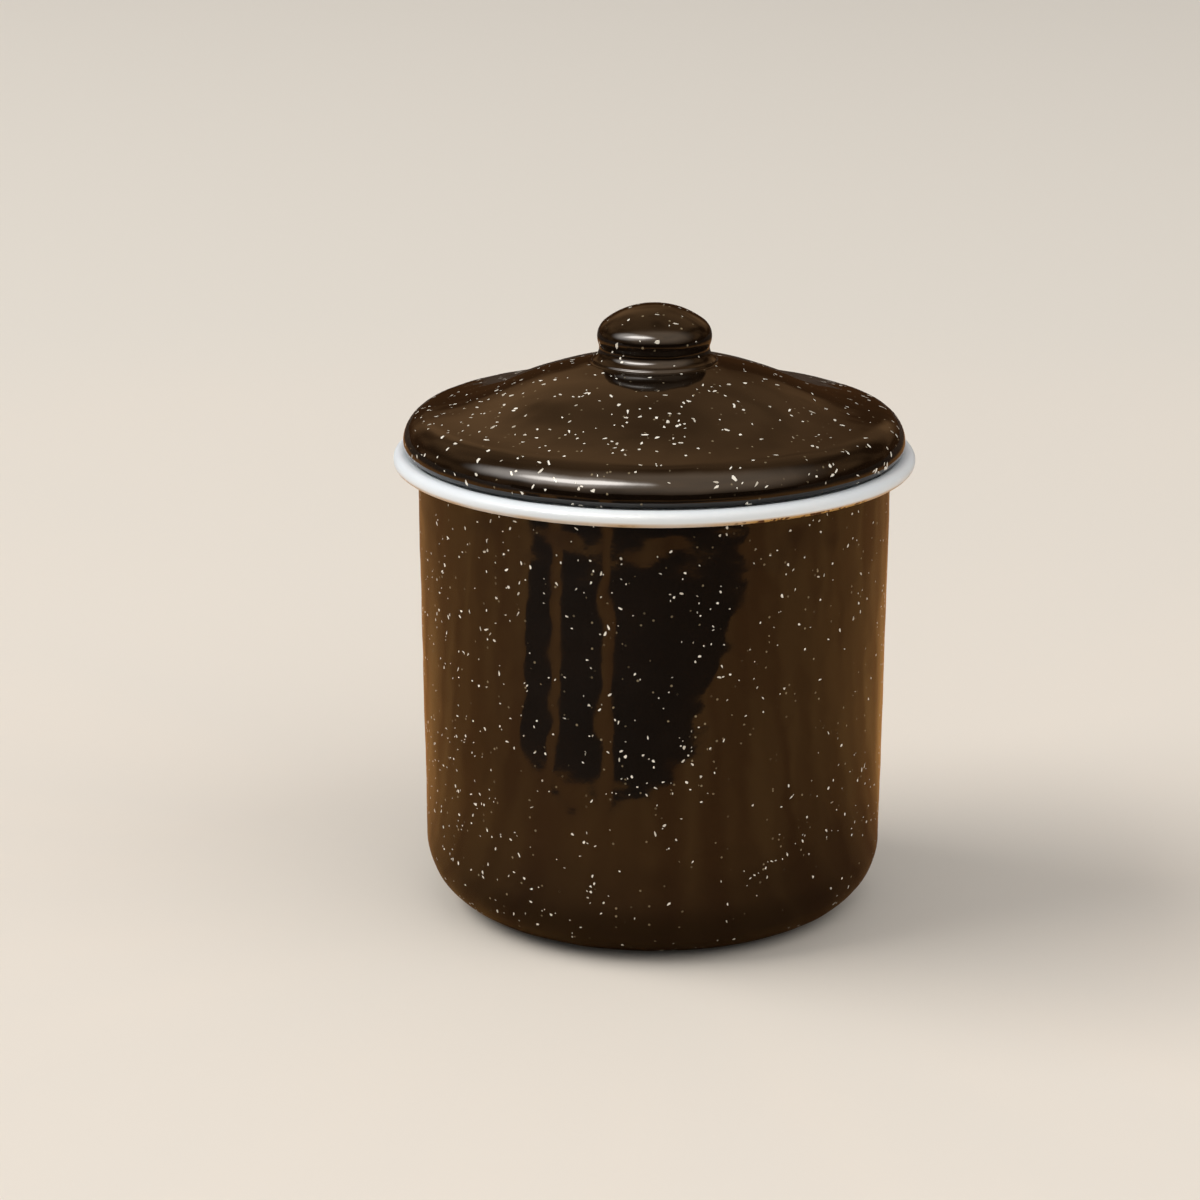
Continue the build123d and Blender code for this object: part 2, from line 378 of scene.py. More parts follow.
cap_offset = knob_radius - knob_shoulder
cap_drop = knob_cap_height - knob_shoulder
crown_radius = (cap_offset**2 + knob_cap_height**2 - knob_shoulder**2) / (2 * cap_drop)
crown_turn = degrees(asin(cap_offset / (crown_radius - knob_shoulder)))
undercut = radians(knob_undercut)
flare_turn = radians(knob_flare_turn)
neck_reach = knob_shoulder + knob_neck
neck_offset = cap_offset + neck_reach * cos(undercut)
foot_offset = neck_offset - (knob_neck + coat) * cos(flare_turn)
foot_radius = foot_offset + coat
foot_height = dome_center[1] + sqrt(dome_radius**2 - foot_radius**2) + foot_step
neck_height = foot_height + (knob_neck + coat) * sin(flare_turn)
knob_height = neck_height + neck_reach * sin(undercut)
print("knob's top stands at, mm:", round((knob_height + knob_cap_height) / mm, 2))

# %% [markdown]
# ## Drawing the lines
#
# A line is a list of (radius, height) points. Arcs are stepped finely enough that no step turns by more
# than a few degrees, and straight runs are stepped too, because the melt's slow ripple needs points to
# move. Faces that lie hidden on the steel get long steps.

# %% Arcs and runs
fine_step = 1.5 * mm
inner_step = 2 * mm
hidden_step = 6 * mm
most_turn = 6
same_point = coat / 100


def arc(center, radius, start, turn, step):
    """Points on an arc from a start angle through a turn, both in degrees."""
    count = ceil(max(abs(turn) / most_turn, radius * radians(abs(turn)) / step))
    angles = [radians(start + turn * i / count) for i in range(count + 1)]
    return [(center[0] + radius * cos(a), center[1] + radius * sin(a)) for a in angles]


def run(start, end, step):
    """Points on a straight run."""
    count = ceil(hypot(end[0] - start[0], end[1] - start[1]) / step)
    return [tuple(s + (e - s) * i / count for s, e in zip(start, end)) for i in range(count + 1)]


def chain(*lines):
    """Joins lines end to end and drops points that repeat the one before."""
    points = []
    for point in (p for line in lines for p in line):
        if not points or hypot(point[0] - points[-1][0], point[1] - points[-1][1]) > same_point:
            points.append(point)
    return points


print("a quarter of the heel takes", len(arc(heel_center, heel_radius, -90, 90, fine_step)), "points")

# %% [markdown]
# The cup's line starts on the axis and follows the dished base, the heel, the wall and the lip. The lid's
# starts on the dome, and follows the brim and the shoulder. Both can go on round their rolled edges.

# %% Lines of the cup and the lid
def cup_line(depth, step, turn, roll=0):
    """The cup from the axis along its base, up its wall, round the lip and on round the bead."""
    shift = depth * tan(dish_slope / 2)
    foot = heel_center[0] - foot_width + shift
    dish = dish_rise + depth
    base = [(0, dish), (foot - dish_run, dish), (foot, depth), (heel_center[0], depth)]
    heel = arc(heel_center, heel_radius - depth, -90, 90 - wall_draft, step)
    lip = arc(flare_center, flare_radius + depth, 180 - wall_draft, -turn, step)
    bead = arc(bead_center, bead_radius - wall + depth, 90, -roll, step) if roll else []
    floor = [run(a, b, step) for a, b in zip(base, base[1:])]
    return chain(*floor, heel, run(heel[-1], lip[0], step), lip, bead)


def lid_line(depth, step, start, roll=0):
    """The lid from a radius on its dome down the brim, round the shoulder and on round the rolled edge."""
    opening = degrees(asin(start / (dome_radius - depth)))
    crown = arc(dome_center, dome_radius - depth, 90 - opening, opening - dome_slope, step)
    waist = arc(brim_center, brim_radius + depth, 270 - dome_slope, dome_slope - brim_slope, step)
    shoulder = arc(shoulder_center, shoulder_radius - depth, 90 - brim_slope, brim_slope - 90, step)
    curl = arc(curl_center, lid_curl - depth, 0, -roll, step) if roll else []
    return chain(crown, waist, shoulder, curl)


print("cup line has", len(cup_line(0, fine_step, outer_glaze_turn)), "points")

# %% [markdown]
# The knob's line ends in its foot. Glass ran down there, rounded over the edge of the steel and pooled on
# the lid in a small hollow, which is two arcs of one radius that meet at a steep slope.

# %% Line of the knob
pool_slope = 75


def pooled_foot(start, step):
    """The foot's edge, where the coat rounds over the steel and runs out on the lid in a small hollow."""
    slope = 90 - knob_flare_turn
    lid_slope = degrees(asin(start[0] / dome_radius))
    rise = start[1] - dome_center[1] - sqrt(dome_radius**2 - start[0] ** 2)
    a, b, c = radians(slope), radians(pool_slope), radians(lid_slope)
    fall = cos(a) - cos(b) + cos(c) - cos(b) - tan(c) * (2 * sin(b) - sin(a) - sin(c))
    radius = rise / fall
    top = (start[0] - radius * sin(a), start[1] - radius * cos(a))
    edge = arc(top, radius, 90 - slope, slope - pool_slope, step)
    low = edge[-1]
    hollow = arc((low[0] + radius * sin(b), low[1] + radius * cos(b)), radius, 270 - pool_slope,
                 pool_slope - lid_slope, step)
    return chain(edge, hollow)


def knob_line(depth, step):
    """The knob from the top of its cap to its flared foot, and down to the lid's steel."""
    crown_center = (0, knob_height + knob_cap_height - crown_radius)
    crown = arc(crown_center, crown_radius - depth, 90, -crown_turn, step)
    cap = arc((cap_offset, knob_height), knob_shoulder - depth, 90 - crown_turn,
              crown_turn - 90 - knob_undercut, step)
    neck = arc((neck_offset, neck_height), knob_neck + depth, 180 - knob_undercut,
               knob_undercut + knob_flare_turn, step)
    pool = [] if depth else pooled_foot(neck[-1], step)
    end = (pool or neck)[-1][0]
    leg = (end, dome_center[1] + sqrt((dome_radius - coat) ** 2 - end**2))
    return chain(crown, cap, neck, pool, [leg])


print("knob line has", len(knob_line(0, fine_step)), "points")

# %% [markdown]
# Molten glass draws up where a coat ends, so the end is a half circle between the coat's outer line and
# the one that lies on the steel. A coat under the lid ends at a radius instead.

# %% Ends of a coat
def rounded_end(outside, inside):
    """A half circle from the end of one line round to the end of another."""
    (x0, y0), (x1, y1) = outside[-1], inside[-1]
    middle, half = ((x0 + x1) / 2, (y0 + y1) / 2), hypot(x1 - x0, y1 - y0) / 2
    start = degrees(atan((y0 - y1) / (x0 - x1))) if x0 != x1 else 90
    along = (outside[-1][0] - outside[-2][0], outside[-1][1] - outside[-2][1])
    if (x0 - middle[0]) * cos(radians(start)) + (y0 - middle[1]) * sin(radians(start)) < 0:
        start += 180
    side = -sin(radians(start)) * along[0] + cos(radians(start)) * along[1]
    return arc(middle, half, start, 180 if side > 0 else -180, hidden_step)


def trimmed(line, radius):
    """A line up to a radius, ended on it."""
    kept = [p for p in line if p[0] < radius]
    (x0, y0), (x1, y1) = kept[-1], line[len(kept)]
    return kept + [(radius, y0 + (y1 - y0) * (radius - x0) / (x1 - x0))]


print("a rounded end is", round(coat / mm, 2), "mm thick")

# %% [markdown]
# ## Turning a line into a skin
#
# Geometry Nodes sweep the line along a circle round the axis. Where the line starts on the axis, the
# swept points fall together, and Merge by Distance closes the pole. A slow noise then draws the skin
# inwards by up to a quarter of a millimetre, as the pressing and the melt are never quite even, so
# reflections waver. It never pushes outwards, so the piece stays inside the solid that it stands for.
# Each point of a line carries the share of the ripple that it takes, as the curve point's radius: all on
# a face that shows, none on a face that lies on the steel, and less and less towards an edge.

# %% The lathe
sweep_radius = 100 * mm
share_name = "ripple_share"
inward_range = {1: 0.25, 2: 0.75, 3: 0.0, 4: -1.0}


def new_tree(name, sizes):
    """Returns a Geometry Nodes tree with its named inputs, their sockets and its output node."""
    tree = bpy.data.node_groups.new(name, "GeometryNodeTree")
    tree.interface.new_socket("Geometry", in_out="OUTPUT", socket_type="NodeSocketGeometry")
    for size, kind in {"Geometry": "Geometry", **sizes}.items():
        tree.interface.new_socket(size, in_out="INPUT", socket_type="NodeSocket" + kind)
    return tree, add(tree, "NodeGroupInput").outputs, add(tree, "NodeGroupOutput")


lathe, given, result = new_tree("lathe", {"Steps": "Int", "Ripple depth": "Float", "Ripple size": "Float",
                                          "Seed": "Float", "Finish": "Material"})
circle = add(lathe, "GeometryNodeCurvePrimitiveCircle",
             {"Resolution": given["Steps"], "Radius": sweep_radius})
share = add(lathe, "GeometryNodeInputRadius")
marked = add(lathe, "GeometryNodeStoreNamedAttribute",
             {"Geometry": given["Geometry"], "Name": share_name, "Value": share.outputs[0]},
             data_type="FLOAT", domain="POINT")
swept = add(lathe, "GeometryNodeCurveToMesh",
            {"Curve": circle.outputs[0], "Profile Curve": marked.outputs[0]})
closed = add(lathe, "GeometryNodeMergeByDistance", {"Geometry": swept.outputs[0], "Distance": same_point})
fineness = add(lathe, "ShaderNodeMath", {0: 1.0, 1: given["Ripple size"]}, operation="DIVIDE")
melt = add(lathe, "ShaderNodeTexNoise", {"W": given["Seed"], "Scale": fineness.outputs[0], "Detail": 1},
           noise_dimensions="4D")
wave = add(lathe, "ShaderNodeMapRange", {0: melt.outputs[0], **inward_range})
depth = add(lathe, "ShaderNodeMath", {0: wave.outputs[0], 1: given["Ripple depth"]}, operation="MULTIPLY")
taken = add(lathe, "GeometryNodeInputNamedAttribute", {"Name": share_name}, data_type="FLOAT")
inward = add(lathe, "ShaderNodeMath", {0: depth.outputs[0], 1: taken.outputs[0]}, operation="MULTIPLY")
normal = add(lathe, "GeometryNodeInputNormal")
offset = add(lathe, "ShaderNodeVectorMath", {0: normal.outputs[0], "Scale": inward.outputs[0]},
             operation="SCALE")
rippled = add(lathe, "GeometryNodeSetPosition",
              {"Geometry": closed.outputs[0], "Offset": offset.outputs[0]})
plain = add(lathe, "GeometryNodeRemoveAttribute", {"Geometry": rippled.outputs[0], "Name": share_name})
smooth = add(lathe, "GeometryNodeSetShadeSmooth", {"Geometry": plain.outputs[0]})
real = add(lathe, "GeometryNodeRealizeInstances", {"Geometry": smooth.outputs[0]})
painted = add(lathe, "GeometryNodeSetMaterial", {"Geometry": real.outputs[0], "Material": given["Finish"]})
lathe.links.new(painted.outputs[0], result.inputs[0])
print("lathe tree has", len(lathe.nodes), "nodes")

# %% [markdown]
# A line becomes a curve object, the tree goes on it as a modifier, and the result is kept as a plain mesh
# at the origin, because the export wants finished meshes. A tree's inputs are set by their identifiers,
# which stay the same whatever the inputs are called.

# %% From a line to a mesh
def line_object(name, points, closed):
    """A curve object that holds a line of the section. The sweep takes its X outwards and its Y down."""
    curve = bpy.data.curves.new(name, "CURVE")
    curve.dimensions = "3D"
    spline = curve.splines.new("POLY")
    spline.points.add(len(points) - 1)
    for point, (radius, height, share) in zip(spline.points, points):
        point.co = (radius - sweep_radius, -height, 0, 1)
        point.radius = share
    spline.use_cyclic_u = closed
    source = bpy.data.objects.new(name + "_line", curve)
    bpy.context.scene.collection.objects.link(source)
    return source


def dress(source, tree, **values):
    """Puts a tree on an object, with its inputs set by their identifiers."""
    modifier = source.modifiers.new(tree.name, "NODES")
    modifier.node_group = tree
    for socket in tree.interface.items_tree:
        key = socket.name.lower().replace(" ", "_")
        if socket.in_out == "INPUT" and key in values:
            modifier[socket.identifier] = values[key]


def freeze(source, name):
    """Turns what the modifiers make of a source into a plain mesh object, and removes the source."""
    graph = bpy.context.evaluated_depsgraph_get()
    mesh = bpy.data.meshes.new_from_object(source.evaluated_get(graph), depsgraph=graph)
    source.modifiers.clear()
    bpy.data.objects.remove(source)
    mesh.name = name
    if mesh.materials[0] is None:
        mesh.materials.pop(index=0)
    piece = bpy.data.objects.new(name, mesh)
    bpy.context.scene.collection.objects.link(piece)
    print(name, "has", len(mesh.polygons), "faces")
    return piece


# %% [markdown]
# A line that shows takes the ripple and fades it out near its ends, and one that lies on the steel takes
# none. The order of a closed section's points decides which way its faces look: clockwise is outwards.

# %% Skins
def waved(line, fade_in=0, fade_out=0):
    """A line whose points take the ripple, fading over a length at its start and at its end."""
    steps = [hypot(b[0] - a[0], b[1] - a[1]) for a, b in zip(line, line[1:])]
    points = []
    for i, (x, y) in enumerate(line):
        start_share = sum(steps[:i]) / fade_in if fade_in else 1
        end_share = sum(steps[i:]) / fade_out if fade_out else 1
        points.append((x, y, min(1, start_share, end_share)))
    return points


def still(line):
    """A line whose points take no ripple."""
    return [(x, y, 0) for x, y in line]


def turned(name, points, closed, steps, ripple, finish):
    """A skin turned from a line, as a plain mesh with its faces outwards."""
    area = sum(a[0] * b[1] - b[0] * a[1] for a, b in zip(points, points[1:] + points[:1]))
    source = line_object(name, points if area < 0 else points[::-1], closed)
    dress(source, lathe, steps=steps, finish=finish, **ripple)
    piece = freeze(source, name)
    print(name, "measures, mm:", [round(x / mm, 2) for x in piece.dimensions])
    return piece


# %% [markdown]
# ## The coats of the canister
#
# The black coat runs from the middle of the base to just under the rim, and the white one from the
# middle of the floor up the inside, over the lip and round the bead. Both end in a rounded edge. A
# ripple holds how deep and how long the waves of a coat are, and where its noise starts.

# %% Canister
steps = 360
body_ripple = {"ripple_depth": 0.24 * mm, "ripple_size": 10.5 * mm, "seed": 3.0}
lining_ripple = {"ripple_depth": 0.14 * mm, "ripple_size": 16 * mm, "seed": 5.0}
edge_fade = 4 * mm
glaze_edge = degrees(coat / 2 / flare_radius)
bead_edge = degrees(coat / 2 / bead_radius)

outside = cup_line(0, fine_step, outer_glaze_turn - glaze_edge)
inside = cup_line(coat, hidden_step, outer_glaze_turn - glaze_edge)
body_line = waved(outside, fade_out=edge_fade)
hidden = still(chain(rounded_end(outside, inside), reversed(inside))[1:])
body_black = turned("body_black_coat", body_line + hidden, False, steps, body_ripple, black_enamel)
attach(body_black, "canister")
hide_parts("body_outer_enamel")

outside = cup_line(wall, inner_step, lip_turn, rim_glaze_roll - bead_edge)
inside = cup_line(sheet, hidden_step, lip_turn, rim_glaze_roll - bead_edge)
hidden = still(chain(rounded_end(outside, inside), reversed(inside))[1:])
body_white = turned("body_white_coat", waved(outside, fade_out=edge_fade) + hidden, False,
                    steps, lining_ripple, white_enamel)
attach(body_white, "canister")
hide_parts("body_lining")

# %% [markdown]
# ## The coats of the lid
#
# The black coat starts at the knob's foot and rolls under the edge. The white one covers the underside
# and wraps the hoop that keeps the lid over the mouth, where the glass rounds the hoop's lower edge.

# %% Lid, black coat
lid_ripple = {"ripple_depth": 0.2 * mm, "ripple_size": 10.5 * mm, "seed": 7.0}
curl_edge = degrees(coat / 2 / lid_curl)

outside = lid_line(0, fine_step, foot_radius, lid_glaze_roll - curl_edge)
inside = lid_line(coat, hidden_step, foot_radius, lid_glaze_roll - curl_edge)
lid_top_line = waved(outside, fade_in=edge_fade, fade_out=edge_fade)
hidden = still(chain(rounded_end(outside, inside), reversed(inside))[1:])
lid_black = turned("lid_black_coat", lid_top_line + hidden, True, steps, lid_ripple, black_enamel)
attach(lid_black, "lid")
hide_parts("lid_outer_enamel")

# %% Lid, white coat
under_ripple = {"ripple_depth": 0.14 * mm, "ripple_size": 16 * mm, "seed": 9.0}

steel_line = lid_line(sheet, hidden_step, vent_radius)
under = trimmed(lid_line(wall, inner_step, vent_radius), ring_bore - coat)
above = trimmed(steel_line, ring_bore)
outer_top = trimmed(steel_line, ring_glaze_radius)[-1]
steel_top = trimmed(steel_line, ring_radius)[-1]
hoop_end = arc((ring_bore + steel / 2, ring_bottom - coat + wall / 2), wall / 2, 180, 180, inner_step)
hoop_steel = [(ring_radius, ring_bottom), (ring_bore, ring_bottom)]
hoop = chain(run(under[-1], hoop_end[0], inner_step), hoop_end, run(hoop_end[-1], outer_top, inner_step))
shown = waved(chain(under, hoop), fade_in=edge_fade, fade_out=edge_fade)
lid_white = turned("lid_white_coat", shown + still(chain([steel_top], hoop_steel, reversed(above))), True,
                   steps, under_ripple, white_enamel)
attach(lid_white, "lid")
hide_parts("lid_lining")

# %% [markdown]
# ## The coat of the knob
#
# The knob is a small hollow pressing with a domed cap over a slight neck. Its coat flares at the foot,
# where glass ran down and pooled against the lid.

# %% Knob
knob_steps = 240
knob_step = 0.7 * mm
knob_ripple = {"ripple_depth": 0.12 * mm, "ripple_size": 8 * mm, "seed": 11.0}

knob_top_line = waved(knob_line(0, knob_step), fade_out=edge_fade)
hidden = still(knob_line(coat, hidden_step)[::-1])
knob_black = turned("knob_black_coat", knob_top_line + hidden, False, knob_steps, knob_ripple, black_enamel)
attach(knob_black, "lid")
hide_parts("knob_enamel")

# %% [markdown]
# ## Flecks, scattered on the melt
#
# Flecks repeat by the thousand and follow a surface, which is what Geometry Nodes scatter best. The tree
# takes a rippled skin, scatters points on it and sets a small chip of glass on each. Two noises thin the
# points out, because sprinkled grains lie in drifts a few centimetres wide, and in pairs and threes.

# %% Where the flecks lie
cluster_size = 5 * mm
drift_range = {1: 0.34, 2: 0.66, 3: 0.25, 4: 1.9}
cluster_range = {1: 0.38, 2: 0.68, 3: 0.35, 4: 2.0}

flecks, given, result = new_tree("flecks", {"Density": "Float", "Drift size": "Float", "Least": "Float",
                                            "Most": "Float", "Seed": "Int", "Finish": "Material"})
drifts = add(flecks, "ShaderNodeMath", {0: 1.0, 1: given["Drift size"]}, operation="DIVIDE")
drift = add(flecks, "ShaderNodeTexNoise", {"W": given["Seed"], "Scale": drifts.outputs[0], "Detail": 2},
            noise_dimensions="4D")
share = add(flecks, "ShaderNodeMapRange", {0: drift.outputs[0], **drift_range})
cluster = add(flecks, "ShaderNodeTexNoise", {"W": given["Seed"], "Scale": 1 / cluster_size, "Detail": 0},
              noise_dimensions="4D")
close = add(flecks, "ShaderNodeMapRange", {0: cluster.outputs[0], **cluster_range})
gathered = add(flecks, "ShaderNodeMath", {0: share.outputs[0], 1: close.outputs[0]}, operation="MULTIPLY")
density = add(flecks, "ShaderNodeMath", {0: gathered.outputs[0], 1: given["Density"]}, operation="MULTIPLY")
facets = add(flecks, "GeometryNodeSetShadeSmooth", {"Geometry": given["Geometry"], "Shade Smooth": False})
points = add(flecks, "GeometryNodeDistributePointsOnFaces",
             {"Mesh": facets.outputs[0], "Density": density.outputs[0], "Seed": given["Seed"]})
print("points of the flecks come from", len(flecks.nodes), "nodes")

# %% [markdown]
# A chip is a flat cone of five to seven sides, pushed out of round by a noise, so no two kinds look
# alike. It stands a hundredth of a millimetre proud of the coat.

# %% Kinds of chips
chip_sides = (5, 6, 7, 5, 6)
chip_top = 0.8
chip_proud = 0.012 * mm
chip_depth = 0.08 * mm
chip_noise = 1.1
corner_range = {1: 0.25, 2: 0.75, 3: 0.55, 4: 1.45}

gather = add(flecks, "GeometryNodeGeometryToInstance")
for kind, sides in enumerate(chip_sides):
    chip = add(flecks, "GeometryNodeMeshCone",
               {"Vertices": sides, "Radius Top": chip_top, "Radius Bottom": 1.0, "Depth": chip_depth})
    uneven = add(flecks, "ShaderNodeTexNoise", {"W": float(kind), "Scale": chip_noise, "Detail": 0},
                 noise_dimensions="4D")
    reach = add(flecks, "ShaderNodeMapRange", {0: uneven.outputs[0], **corner_range})
    factor = add(flecks, "ShaderNodeCombineXYZ", {0: reach.outputs[0], 1: reach.outputs[0], 2: 1.0})
    corner = add(flecks, "GeometryNodeInputPosition")
    pushed = add(flecks, "ShaderNodeVectorMath", {0: corner.outputs[0], 1: factor.outputs[0]},
                 operation="MULTIPLY")
    broken = add(flecks, "GeometryNodeSetPosition",
                 {"Geometry": chip.outputs[0], "Position": pushed.outputs[0]})
    sunk = add(flecks, "GeometryNodeTransform",
               {"Geometry": broken.outputs[0], "Translation": (0, 0, chip_proud - chip_depth)})
    flecks.links.new(sunk.outputs[0], gather.inputs[0])
print("there are", len(chip_sides), "kinds of chips")

# %% [markdown]
# Each chip gets a size, a stretch, a turn and a tone of its own. A random value raised to a power leans
# to one side: most chips are small, as in a handful of crushed glass, and most lie bright on top, with
# some that sank and look dim.

# %% What a fleck looks like
small_lean = 1.7
bright_lean = 0.3
least_stretch = 0.58
most_stretch = 1.7

sort = add(flecks, "FunctionNodeRandomValue", {4: 0, 5: len(chip_sides) - 1, "Seed": 1}, data_type="INT")
luck = add(flecks, "FunctionNodeRandomValue", {2: 0.0, 3: 1.0, "Seed": 2}, data_type="FLOAT")
small = add(flecks, "ShaderNodeMath", {0: luck.outputs[1], 1: small_lean}, operation="POWER")
half = add(flecks, "ShaderNodeMapRange", {0: small.outputs[0], 3: given["Least"], 4: given["Most"]})
stretch = add(flecks, "FunctionNodeRandomValue", {2: least_stretch, 3: most_stretch, "Seed": 3},
              data_type="FLOAT")
long = add(flecks, "ShaderNodeMath", {0: half.outputs[0], 1: stretch.outputs[1]}, operation="MULTIPLY")
wide = add(flecks, "ShaderNodeMath", {0: half.outputs[0], 1: stretch.outputs[1]}, operation="DIVIDE")
size = add(flecks, "ShaderNodeCombineXYZ", {0: long.outputs[0], 1: wide.outputs[0], 2: 1.0})
placed = add(flecks, "GeometryNodeInstanceOnPoints",
             {"Points": points.outputs["Points"], "Instance": gather.outputs[0], "Pick Instance": True,
              "Instance Index": sort.outputs[2], "Rotation": points.outputs["Rotation"],
              "Scale": size.outputs[0]})
spin = add(flecks, "FunctionNodeRandomValue", {0: (0, 0, 0), 1: (0, 0, 2 * pi), "Seed": 4},
           data_type="FLOAT_VECTOR")
spun = add(flecks, "GeometryNodeRotateInstances",
           {"Instances": placed.outputs[0], "Rotation": spin.outputs[0]})
sunken = add(flecks, "FunctionNodeRandomValue", {2: 0.0, 3: 1.0, "Seed": 5}, data_type="FLOAT")
bright = add(flecks, "ShaderNodeMath", {0: sunken.outputs[1], 1: bright_lean}, operation="POWER")
toned = add(flecks, "GeometryNodeStoreNamedAttribute",
            {"Geometry": spun.outputs[0], "Name": tone_name, "Value": bright.outputs[0]},
            data_type="FLOAT", domain="INSTANCE")
real = add(flecks, "GeometryNodeRealizeInstances", {"Geometry": toned.outputs[0]})
painted = add(flecks, "GeometryNodeSetMaterial", {"Geometry": real.outputs[0], "Material": given["Finish"]})
flecks.links.new(painted.outputs[0], result.inputs[0])
print("fleck tree has", len(flecks.nodes), "nodes")

# %% [markdown]
# The flecks of a piece lie on a skin turned from the same line with the same ripple, so they sit on its
# coat. The last points of a line, round its edge, stay free of them. The cup's line runs the other way
# round from the lid's, so it is reversed to make its skin look outwards. The density is the flecks per
# square millimetre, before the two noises thin and gather them.

# %% Scatter the flecks
square_metre = 1 / mm**2
edge_points = 2
curl_points = 9


def scattered(name, line, body, ripple, density, drift_size, least, most, seed):
    """Flecks on the skin that a line turns, as one mesh that rides on a body."""
    source = line_object(name, line, False)
    dress(source, lathe, steps=steps, finish=cream_flecks, **ripple)
    dress(source, flecks, density=density * square_metre, drift_size=drift_size, least=least, most=most,
          seed=seed, finish=cream_flecks)
    piece = freeze(source, name)
    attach(piece, body)


scattered("body_flecks", body_line[:-edge_points][::-1], "canister", body_ripple,
          density=0.026, drift_size=34 * mm, least=0.2 * mm, most=0.56 * mm, seed=104)
scattered("lid_flecks", lid_top_line[:-curl_points], "lid", lid_ripple,
          density=0.027, drift_size=34 * mm, least=0.3 * mm, most=0.78 * mm, seed=38)
scattered("knob_flecks", knob_top_line[:-edge_points], "lid", knob_ripple,
          density=0.045, drift_size=30 * mm, least=0.24 * mm, most=0.82 * mm, seed=31)

# %% [markdown]
# ## Floor and light
#
# The canister stands on a plain pale floor, and the camera sees a pale backdrop where the floor ends. A
# plain grey room fills the shadows. A black gloss shows whatever lies round it, so reflections see a warm
# room instead, darker low down than overhead and a little cloudy. Light Path tells the rays apart, and
# the white rim keeps its own colour.

# %% Floor
floor_reach = 6.0
square = ((-1, -1), (1, -1), (1, 1), (-1, 1))


def plain_paint(name, code, roughness):
    """A matt paint of one colour, for the stage."""
    paint, _, shader, _ = new_material(name)
    shader.inputs["Base Color"].default_value = colour(code)
    shader.inputs["Roughness"].default_value = roughness
    return paint


def stage_piece(name, corners, paint):
    """A flat piece of the stage with one face."""
    mesh = bpy.data.meshes.new(name)
    mesh.from_pydata(corners, [], [list(range(len(corners)))])
    mesh.materials.append(paint)
    piece = bpy.data.objects.new(name, mesh)
    bpy.context.scene.collection.objects.link(piece)
    return piece


floor_paint = plain_paint("pale_matt_floor", "#e6ddd0", roughness=0.7)
stage_piece("floor", [(x * floor_reach, y * floor_reach, 0) for x, y in square], floor_paint)
print("floor reaches", floor_reach, "m each way")

# %% Room
cloud_scale = 2.2
cloud_range = {1: 0.3, 2: 0.7, 3: -0.55, 4: 0.55}

world = bpy.data.worlds.new("room")
bpy.context.scene.world = world
world.use_nodes = True
tree = world.node_tree
ray = add(tree, "ShaderNodeLightPath")
way = add(tree, "ShaderNodeTexCoord").outputs["Generated"]
rise = add(tree, "ShaderNodeSeparateXYZ", {0: way}).outputs["Z"]
cloud = add(tree, "ShaderNodeTexNoise", {"Vector": way, "Scale": cloud_scale, "Detail": 1})
uneven = add(tree, "ShaderNodeMapRange", {0: cloud.outputs[0], **cloud_range})
pale = add(tree, "ShaderNodeMath", {0: rise, 1: uneven.outputs[0]}, operation="ADD", use_clamp=True)
warm = add(tree, "ShaderNodeMix", {0: pale.outputs[0], 6: colour("#4a2f19"), 7: colour("#bc8f62")},
           data_type="RGBA")
room = add(tree, "ShaderNodeMix",
           {0: ray.outputs["Is Glossy Ray"], 6: colour("#abacae"), 7: warm.outputs[2]}, data_type="RGBA")
backdrop = add(tree, "ShaderNodeMix",
               {0: ray.outputs["Is Camera Ray"], 6: room.outputs[2], 7: colour("#d9d1c5")},
               data_type="RGBA")
tree.links.new(backdrop.outputs[2], tree.nodes["Background"].inputs["Color"])
bpy.context.scene.view_settings.view_transform = "Standard"
print("room has", len(tree.nodes), "nodes")

# %% [markdown]
# Soft glows in that room stand for a curtained window at the left and for a pale ceiling in front, and
# only the gloss sees them. Each is a ball of light that a Mapping node turns towards a direction and
# stretches, so it fades out at its edge as a curtained window does. Directions are given as an azimuth,
# with 0 in front and negative to the left, and as a height above the horizon, both in degrees. A glow
# then has a tilt, its reach across and upwards, a tint and a strength.

# %% Glows for the gloss
glow_edge = 0.6
glows = (
    ("window", -40, 42, 14, (0.56, 0.17), "#fffaf4", 15),
    ("curtain", -54, 39, 16, (0.8, 0.4), "#fffaf4", 5),
    ("ceiling", 5, 50, 0, (1.6, 0.85), "#f0d9c0", 1.6),
)


def facing(azimuth, height, tilt):
    """A turn that takes the Z axis to a direction, with the X axis level and then tilted about Z."""
    level = Matrix.Rotation(radians(azimuth), 3, "Z") @ Matrix.Rotation(radians(90 - height), 3, "X")
    return level @ Matrix.Rotation(radians(tilt), 3, "Z")


sky = tree.nodes["Background"].outputs[0]
for name, azimuth, height, tilt, reach, tint, power in glows:
    turn = facing(azimuth, height, tilt)
    spot = add(tree, "ShaderNodeMapping",
               {"Vector": way, "Location": turn.col[2], "Rotation": turn.to_euler(), "Scale": (*reach, 1)},
               vector_type="TEXTURE")
    ball = add(tree, "ShaderNodeTexGradient", {0: spot.outputs[0]}, gradient_type="SPHERICAL")
    soft = add(tree, "ShaderNodeMapRange", {0: ball.outputs["Fac"], 2: glow_edge, 4: power},
               interpolation_type="SMOOTHSTEP")
    seen = add(tree, "ShaderNodeMath", {0: soft.outputs[0], 1: ray.outputs["Is Glossy Ray"]},
               operation="MULTIPLY")
    glow = add(tree, "ShaderNodeBackground", {"Color": colour(tint), "Strength": seen.outputs[0]},
               name=name)
    sky = add(tree, "ShaderNodeAddShader", {0: sky, 1: glow.outputs[0]}).outputs[0]
tree.links.new(sky, tree.nodes["World Output"].inputs["Surface"])
